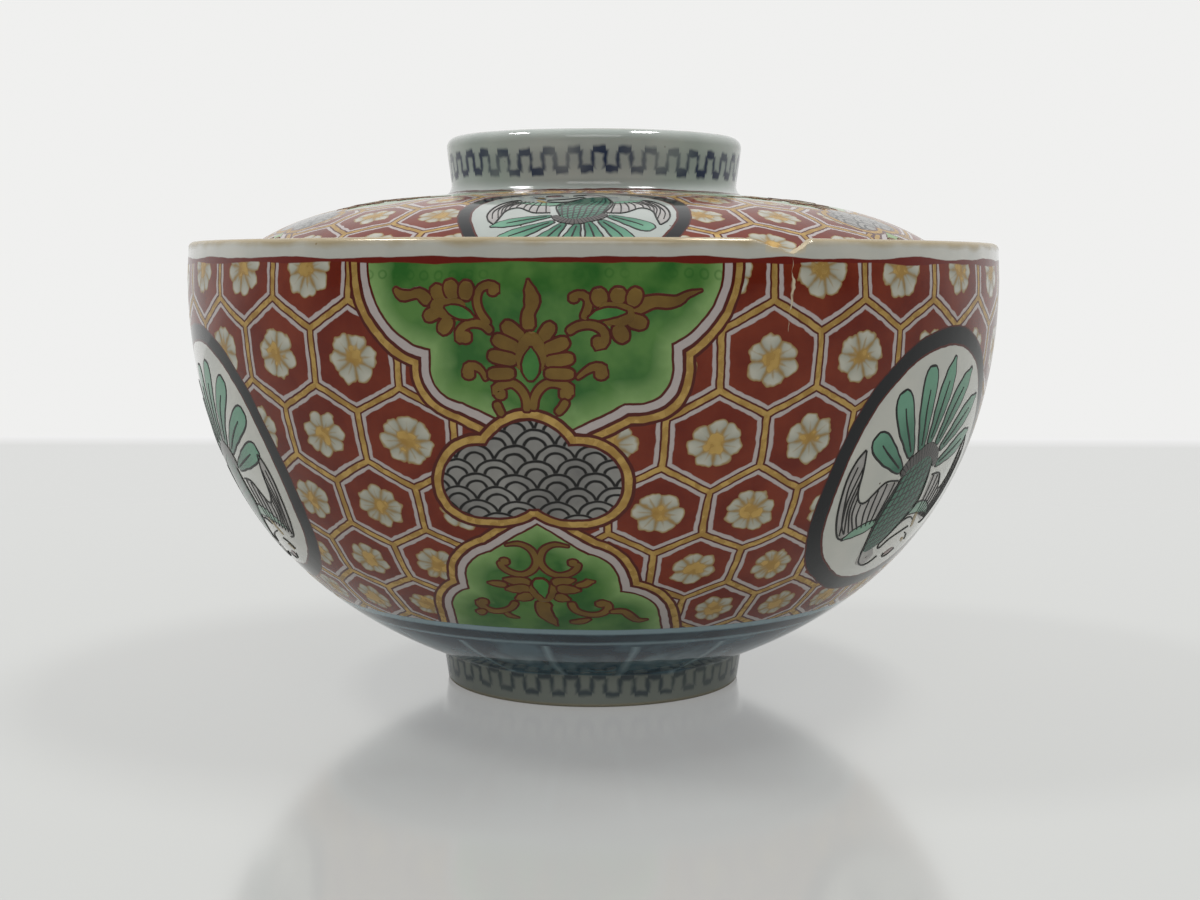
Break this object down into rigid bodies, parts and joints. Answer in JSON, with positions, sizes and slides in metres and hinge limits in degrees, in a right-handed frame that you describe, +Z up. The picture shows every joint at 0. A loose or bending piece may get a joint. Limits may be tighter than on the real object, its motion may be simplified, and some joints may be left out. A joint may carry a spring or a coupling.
{
  "type": "lidded soup bowl",
  "caption": "Round porcelain soup bowl on a foot ring, with a domed lid that sits inside its mouth and lifts off by a ring handle.",
  "frame": {"origin": "centre of the foot ring, on the surface that the bowl stands on", "axes": "+Z up along the turning axis; -Y is the pictured front; +X is to the right seen from the front"},
  "size_m": [0.121, 0.121, 0.0822],
  "materials": {
    "bowl_porcelain": "gloss",
    "lid_porcelain": "gloss"
  },
  "bodies": {
    "bowl": {"bowl": "bowl_porcelain"},
    "lid": {"lid": "lid_porcelain"}
  },
  "joints": [
    {"name": "lid_lift", "type": "slide", "parent": "bowl", "child": "lid", "axis": [0, 0, 1], "range_m": [0, 0.08]}
  ]
}
